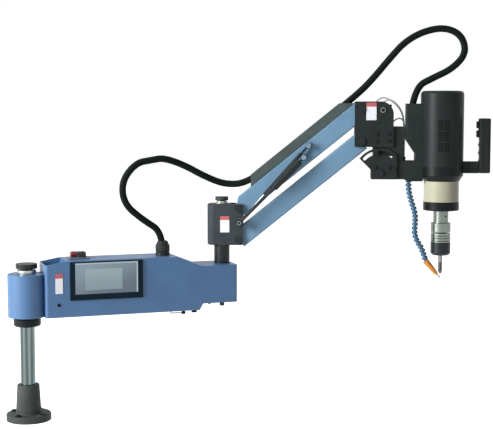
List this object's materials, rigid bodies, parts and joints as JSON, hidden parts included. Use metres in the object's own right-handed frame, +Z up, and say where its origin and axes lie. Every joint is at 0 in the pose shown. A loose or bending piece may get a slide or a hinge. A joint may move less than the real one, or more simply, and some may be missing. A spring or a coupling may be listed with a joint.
{
  "type": "arm tapping machine",
  "caption": "Swing-arm tapping machine: bolted column, swivelling control box, parallelogram arm with gas springs, and a tilting motor head with chuck and tap.",
  "frame": {"origin": "centre of the flange's bolt circle on its underside", "axes": "+Z up along the column, +X along the control arm, -Y towards the screen side"},
  "size_m": [1.2492, 0.3357, 1.0246],
  "materials": {
    "cast_grey": "painted casting, satin",
    "chrome_steel": "ground and polished",
    "steel": "zinc plated",
    "black_steel": "black oxide",
    "black_plastic": "fine texture",
    "rubber": "moulded",
    "bronze": "sintered",
    "blue_paint": "semi-gloss powder coat",
    "grey_paint": "textured powder coat",
    "motor_grey": "satin paint",
    "tray_grey": "satin paint",
    "cream_paint": "gloss paint",
    "gas_black": "gloss paint",
    "glass": "lit display behind glass",
    "red_plastic": "moulded",
    "blue_plastic": "moulded",
    "orange_plastic": "moulded",
    "clear_tube": "translucent"
  },
  "bodies": {
    "base": {"base_flange": "cast_grey", "column": "chrome_steel", "column_collar": "black_steel", "column_thrust_ring": "chrome_steel"},
    "column_knob": {"column_knob": "black_plastic"},
    "control_arm": {"swivel_hub": "blue_paint", "hub_bushes": "bronze", "control_box": "blue_paint", "box_base_cover": "blue_paint", "control_box_screws": "black_steel", "rubber_feet": "rubber", "screen_bezel": "black_plastic", "screen_glass": "glass", "stop_switch_body": "black_plastic", "conduit_gland": "black_plastic", "elbow_shaft": "black_steel", "box_conduit": "black_plastic"},
    "stop_button": {"stop_button": "red_plastic"},
    "elbow": {"elbow_block": "grey_paint", "elbow_bushes": "bronze", "elbow_clamp_ring": "chrome_steel", "elbow_pins": "steel"},
    "elbow_knob": {"elbow_knob": "black_plastic"},
    "upper_arm": {"upper_link": "blue_paint", "cable_tray": "tray_grey", "spring_bracket": "black_steel", "tray_conduit": "black_plastic", "link_conduit": "black_plastic"},
    "lower_arm": {"lower_link": "blue_paint"},
    "rear_cylinder": {"rear_spring_cylinder": "gas_black"},
    "rear_rod": {"rear_spring_rod": "black_steel"},
    "front_cylinder": {"front_spring_cylinder": "gas_black"},
    "front_rod": {"front_spring_rod": "black_steel"},
    "head": {"head_plates": "grey_paint", "head_spacer": "grey_paint", "head_pins": "steel", "head_screws": "steel", "tilt_hanger": "grey_paint"},
    "tilting_head": {"tilt_fan_plate": "grey_paint", "motor_bracket": "grey_paint", "bracket_screws": "steel", "conduit_cover": "grey_paint", "motor_housing": "motor_grey", "gearbox_flange": "motor_grey", "gearbox": "cream_paint", "clutch_ring": "black_steel", "handle_bar": "grey_paint", "handle_grip": "black_plastic", "coolant_hose": "blue_plastic", "coolant_nozzle": "orange_plastic", "motor_conduit": "black_plastic", "air_tubes": "clear_tube"},
    "start_button": {"start_button": "black_plastic"},
    "reverse_button": {"reverse_button": "black_plastic"},
    "spindle": {"spindle_shank": "chrome_steel", "tap_chuck": "chrome_steel", "tap_adapter": "black_steel", "tap": "steel"},
    "chuck_sleeve": {"chuck_sleeve": "chrome_steel"}
  },
  "joints": [
    {"name": "arm_swivel", "type": "hinge", "parent": "base", "child": "control_arm", "pos_m": [0, 0, 0.27], "axis": [0, 0, 1], "range_deg": [-170, 170]},
    {"name": "column_knob_turn", "type": "hinge", "parent": "base", "child": "column_knob", "pos_m": [0, 0, 0.392], "axis": [0, 0, 1], "range_deg": [-180, 180]},
    {"name": "stop_button_press", "type": "slide", "parent": "control_arm", "child": "stop_button", "axis": [1, 0, 0], "range_m": [0, 0.003], "stiffness_N_per_m": 600, "springref_m": -0.002},
    {"name": "elbow_swivel", "type": "hinge", "parent": "control_arm", "child": "elbow", "pos_m": [0.5265, 0, 0.439], "axis": [0, 0, 1], "range_deg": [-100, 100], "deforming": ["box_conduit"]},
    {"name": "elbow_knob_turn", "type": "hinge", "parent": "control_arm", "child": "elbow_knob", "pos_m": [0.5265, 0, 0.549], "axis": [0, 0, 1], "range_deg": [-180, 180]},
    {"name": "link_pitch", "type": "hinge", "parent": "elbow", "child": "upper_arm", "pos_m": [0.56961, -0.01742, 0.538], "axis": [-0.3746, -0.9272, 0], "range_deg": [-48, 8], "deforming": ["tray_conduit"]},
    {"name": "lower_link_pitch", "type": "hinge", "parent": "elbow", "child": "lower_arm", "pos_m": [0.56961, -0.01742, 0.453], "axis": [-0.3746, -0.9272, 0], "range_deg": [-48.5, 8.5]},
    {"name": "rear_spring_swing", "type": "hinge", "parent": "upper_arm", "child": "rear_cylinder", "pos_m": [0.72923, -0.12073, 0.7063], "axis": [-0.3746, -0.9272, 0], "range_deg": [-0.6, 3.01]},
    {"name": "rear_spring_stroke", "type": "slide", "parent": "rear_cylinder", "child": "rear_rod", "axis": [0.6173, -0.2494, 0.7461], "range_m": [-0.00531, 0.02816]},
    {"name": "front_spring_swing", "type": "hinge", "parent": "upper_arm", "child": "front_cylinder", "pos_m": [0.71202, -0.13104, 0.67578], "axis": [-0.3746, -0.9272, 0], "range_deg": [-0.62, 3.07]},
    {"name": "front_spring_stroke", "type": "slide", "parent": "front_cylinder", "child": "front_rod", "axis": [0.6486, -0.262, 0.7146], "range_m": [-0.00542, 0.02875]},
    {"name": "head_level", "type": "hinge", "parent": "upper_arm", "child": "head", "pos_m": [0.87254, -0.13981, 0.80257], "axis": [-0.3746, -0.9272, 0], "range_deg": [-8.5, 48.5], "deforming": ["link_conduit"]},
    {"name": "head_tilt", "type": "hinge", "parent": "head", "child": "tilting_head", "pos_m": [0.91769, -0.15805, 0.63307], "axis": [0.3746, 0.9272, 0], "range_deg": [0, 32], "deforming": ["motor_conduit", "air_tubes"]},
    {"name": "start_button_press", "type": "slide", "parent": "tilting_head", "child": "start_button", "axis": [0.9272, -0.3746, 0], "range_m": [0, 0.003], "stiffness_N_per_m": 400, "springref_m": -0.002},
    {"name": "reverse_button_press", "type": "slide", "parent": "tilting_head", "child": "reverse_button", "axis": [0.9272, -0.3746, 0], "range_m": [0, 0.003], "stiffness_N_per_m": 400, "springref_m": -0.002},
    {"name": "spindle_spin", "type": "hinge", "parent": "tilting_head", "child": "spindle", "pos_m": [1.07068, -0.21986, 0.57307], "axis": [0, 0, 1], "continuous": true},
    {"name": "sleeve_slide", "type": "slide", "parent": "spindle", "child": "chuck_sleeve", "axis": [0, 0, 1], "range_m": [0, 0.003], "stiffness_N_per_m": 500, "springref_m": -0.004}
  ],
  "couplings": [
    {"joint": "lower_link_pitch", "follows": "link_pitch", "ratio": 1},
    {"joint": "head_level", "follows": "link_pitch", "ratio": -1},
    {"joint": "rear_spring_swing", "follows": "link_pitch", "ratio": -0.060062},
    {"joint": "rear_spring_stroke", "follows": "link_pitch", "m_per_rad": -0.032725},
    {"joint": "front_spring_swing", "follows": "link_pitch", "ratio": -0.061454},
    {"joint": "front_spring_stroke", "follows": "link_pitch", "m_per_rad": -0.033421}
  ]
}
